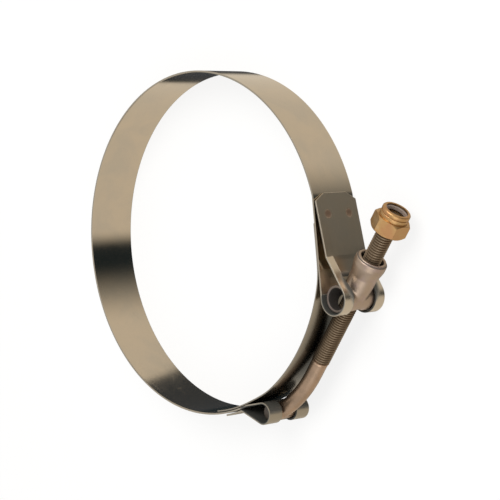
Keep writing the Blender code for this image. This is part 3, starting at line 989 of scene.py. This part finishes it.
nut = {
    "base": 0.0273,
    "flats": 0.0111,
    "hexHeight": 0.0052,
    "height": 0.0082,
    "chamfer": 0.0007,
    "crimpRadius": 0.0049,
    "groove": 0.0004,           # under the rolled lip
    "grooveHeight": 0.0013,
    "grooveWidth": 0.0004,
    "crimpRound": 0.0006,
    "crimpWall": 0.0005,
    "lipRadius": 0.0038,
    "lipThickness": 0.0004,
    "edgeRound": 0.00022,
    "insertHeight": 0.0012,
    "sides": 96,
}
nutBore = bolt["radius"] + plan["gap"]
nutSeat = nut["height"] - nut["lipThickness"] - nut["insertHeight"] - 2 * plan["gap"]


def makeNut():
    place = boltMatrix(nut["base"])
    corner = nut["flats"] / sqrt(3)
    bm = bmesh.new()
    bmesh.ops.create_cone(
        bm, cap_ends=True, segments=6, radius1=corner, radius2=corner, depth=nut["hexHeight"],
        matrix=place @ Matrix.Translation((0, 0, nut["hexHeight"] / 2)) @ Matrix.Rotation(pi / 6, 4, "Z"),
    )
    piece = newPiece("nutHexagon", bm, yellowZinc)
    gap, flatRadius, high = plan["gap"], nut["flats"] / 2, nut["hexHeight"]
    past = nut["chamfer"] / (corner - flatRadius) * gap
    corners = [
        (0, -past), (flatRadius - gap, -past), (corner + gap, nut["chamfer"] + past),
        (corner + gap, high - nut["chamfer"] - past), (flatRadius - gap, high + past), (0, high + past),
    ]
    turning = turned("nutCorners", corners, nut["sides"], place)
    crimp = nut["crimpRadius"]
    grooveRadius, grooveTop = crimp - nut["groove"], high + nut["grooveHeight"]
    collarOutline = [
        (0, high / 2), (crimp, high / 2), (crimp, grooveTop),
        (grooveRadius, grooveTop + nut["grooveWidth"] / 2), (crimp, grooveTop + nut["grooveWidth"]),
        (crimp, nut["height"]), (0, nut["height"]),
    ]
    rounds = {2: 0.0002, 3: 0.0001, 4: 0.0002, 5: nut["crimpRound"]}
    collar = turned("nutCollar", rounded(collarOutline, rounds), nut["sides"], place)
    recess, lip = crimp - nut["crimpWall"], nut["height"] - nut["lipThickness"]
    insideOutline = [
        (0, -gap), (nutBore + 0.0006, -gap), (nutBore, 0.0004), (nutBore, nutSeat), (recess, nutSeat),
        (recess, lip), (nut["lipRadius"], lip), (nut["lipRadius"], nut["height"] + gap),
        (0, nut["height"] + gap),
    ]
    hollow = turned("nutInside", insideOutline, nut["sides"], place)
    for tool, operation in ((turning, "INTERSECT"), (collar, "UNION"), (hollow, "DIFFERENCE")):
        cutOrJoin(piece, tool, operation)
    roundEdges(piece, nut["edgeRound"], 24)
    settle(piece, 24)
    dropTools(turning, collar, hollow)
    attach(piece, "nut")
    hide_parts("lock_nut")


def makeInsert():
    outer, height = nut["crimpRadius"] - nut["crimpWall"] - plan["gap"], nut["insertHeight"]
    outline = [(nutBore, 0), (outer, 0), (outer, height), (nutBore, height)]
    outline = rounded(outline, {1: 0.0002, 2: 0.0002, 3: 0.0003})
    seat = boltMatrix(nut["base"] + nutSeat + plan["gap"])
    piece = turned("insertRing", outline, nut["sides"], seat, nylon)
    settle(piece, 40)
    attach(piece, "insert")
    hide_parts("nylon_insert")


yellowZinc = makeYellowZinc("yellowZincPlate")
nylon = makeNylon("naturalNylon")
makeNut()
makeInsert()
print("nut and ring made")


# floor, light and camera

studio = {
    "floorSize": 6.0,
    "floorTone": (0.86, 0.86, 0.85),
    "whiteShare": 0.80,         # how much of the floor's look to the camera is plain white
    "worldLevel": 0.75,
    "darkCard": [(-0.034, 0.057), (-0.105, 0.113), (-0.4, 0.113), (-0.4, -0.02), (-0.034, -0.02)],
    "cardDepth": 0.12,          # under the floor, which mirrored light passes
    "keyPower": 5.0,
    "fillPower": 2.0,
    "mirrored": (0.83, 0.745, 0.62),    # the warm table that polished steel mirrors
    "overhead": (0.86, 0.84, 0.80),
    "darkRoom": (0.018, 0.026, 0.030),
    "cardTone": (0.055, 0.06, 0.066),
    "darkZones": [               # headings where each begins, is full, starts to fade and ends
        (-9, 3, 13, 58),
        (150, 160, 215, 220),
    ],
}


def makeFloor():
    bm = bmesh.new()
    bmesh.ops.create_grid(bm, x_segments=1, y_segments=1, size=studio["floorSize"] / 2)
    material = bpy.data.materials.new("paleFloor")
    material.use_nodes = True
    tree = material.node_tree
    shader = tree.nodes["Principled BSDF"]
    shader.inputs["Roughness"].default_value = 0.9
    wire = Wire(tree)
    wire.feed(shader.inputs["Base Color"], studio["floorTone"])
    toCamera = wire.node("LightPath")
    white = wire.node("Emission", None, {"Color": (1.0, 1.0, 1.0), "Strength": 1.0})
    look = wire.node(
        "MixShader", None, {0: toCamera * studio["whiteShare"], 1: Wire(tree, shader.outputs[0]), 2: white}
    )
    wire.feed(tree.nodes["Material Output"].inputs["Surface"], look)
    floor = newPiece("floor", bm, material)
    floor.visible_glossy = False


def makeWorld():
    world = bpy.data.worlds.new("studioWorld")
    scene.world = world
    world.use_nodes = True
    world.cycles.sampling_method = "NONE"
    tree = world.node_tree
    tree.nodes.clear()
    wire = Wire(tree)
    toCamera = wire.node("LightPath")
    toGloss = wire.node("LightPath", out="Is Glossy Ray")
    plain = wire.node("Background", None, {"Color": (1.0, 1.0, 1.0), "Strength": studio["worldLevel"]})
    bright = wire.node("Background", None, {"Color": (1.0, 1.0, 1.0), "Strength": 1.0})
    way = wire.node("TexCoord", out="Generated")
    east = wire.node("SeparateXYZ", None, {"Vector": way}, "X")
    north = wire.node("SeparateXYZ", None, {"Vector": way}, "Y")
    up = wire.node("SeparateXYZ", None, {"Vector": way}, "Z")
    heading = wire.maths("ARCTAN2", north, east)
    dark = None
    for begin, full, fade, end in studio["darkZones"]:
        middle = radians((full + fade) / 2)
        off = wire.maths("WRAP", heading - middle, pi, -pi)
        rise = off.between(radians(begin) - middle, radians(full) - middle)
        zone = rise * (1 - off.between(radians(fade) - middle, radians(end) - middle))
        dark = zone if dark is None else wire.maths("MAXIMUM", dark, zone)
    table = mixed(dark, studio["mirrored"], studio["darkRoom"])
    surround = mixed(up.between(-0.12, 0.12), table, studio["overhead"])
    around = wire.node("Background", None, {"Color": surround, "Strength": 1.0})
    look = wire.node("MixShader", None, {0: toCamera, 1: plain, 2: bright})
    look = wire.node("MixShader", None, {0: toGloss, 1: look, 2: around})
    output = tree.nodes.new("ShaderNodeOutputWorld")
    wire.feed(output.inputs["Surface"], look)


def makeCard(name, corners, colour):  # seen only in mirrored light
    bm = bmesh.new()
    verts = [bmesh.ops.create_vert(bm, co=(*corner, -studio["cardDepth"]))["vert"][0] for corner in corners]
    bmesh.ops.contextual_create(bm, geom=verts)
    material = bpy.data.materials.new(name)
    material.use_nodes = True
    shader = material.node_tree.nodes["Principled BSDF"]
    shader.inputs["Base Color"].default_value = (0, 0, 0, 1)
    shader.inputs["Specular IOR Level"].default_value = 0
    shader.inputs["Emission Color"].default_value = (*colour, 1)
    shader.inputs["Emission Strength"].default_value = 1.0
    card = newPiece(name, bm, material)
    card.visible_camera = card.visible_diffuse = card.visible_shadow = card.visible_transmission = False


def areaLight(name, place, target, size, power, colour):
    light = bpy.data.lights.new(name, "AREA")
    light.shape, light.size, light.energy, light.color = "DISK", size, power, colour
    lamp = bpy.data.objects.new(name, light)
    scene.collection.objects.link(lamp)
    lamp.location = place
    lamp.rotation_euler = (Vector(target) - Vector(place)).to_track_quat("-Z", "Y").to_euler()
    return lamp


makeFloor()
makeWorld()
makeCard("darkCard", studio["darkCard"], studio["cardTone"])
areaLight("key", (0.25, 0.45, 0.75), (0, 0, 0), 0.6, studio["keyPower"], (1.0, 0.97, 0.93))
areaLight("fill", (0.6, -0.5, 0.6), (0, 0, 0), 0.8, studio["fillPower"], (1.0, 0.98, 0.96))

view = {
    "place": (0.421570, 0.033598, 0.401106),
    "target": (0.002770, -0.002133, 0.009525),
    "roll": -94.649,            # the photograph shows the clamp standing on its ring
    "lens": 117.57,
}
camera = bpy.data.objects.new("camera", bpy.data.cameras.new("camera"))
scene.collection.objects.link(camera)
camera.data.lens, camera.data.sensor_width = view["lens"], 36
camera.location = view["place"]
look = (Vector(view["target"]) - Vector(view["place"])).to_track_quat("-Z", "Y")
camera.rotation_euler = (look @ Quaternion((0, 0, 1), radians(view["roll"]))).to_euler()
scene.camera = camera
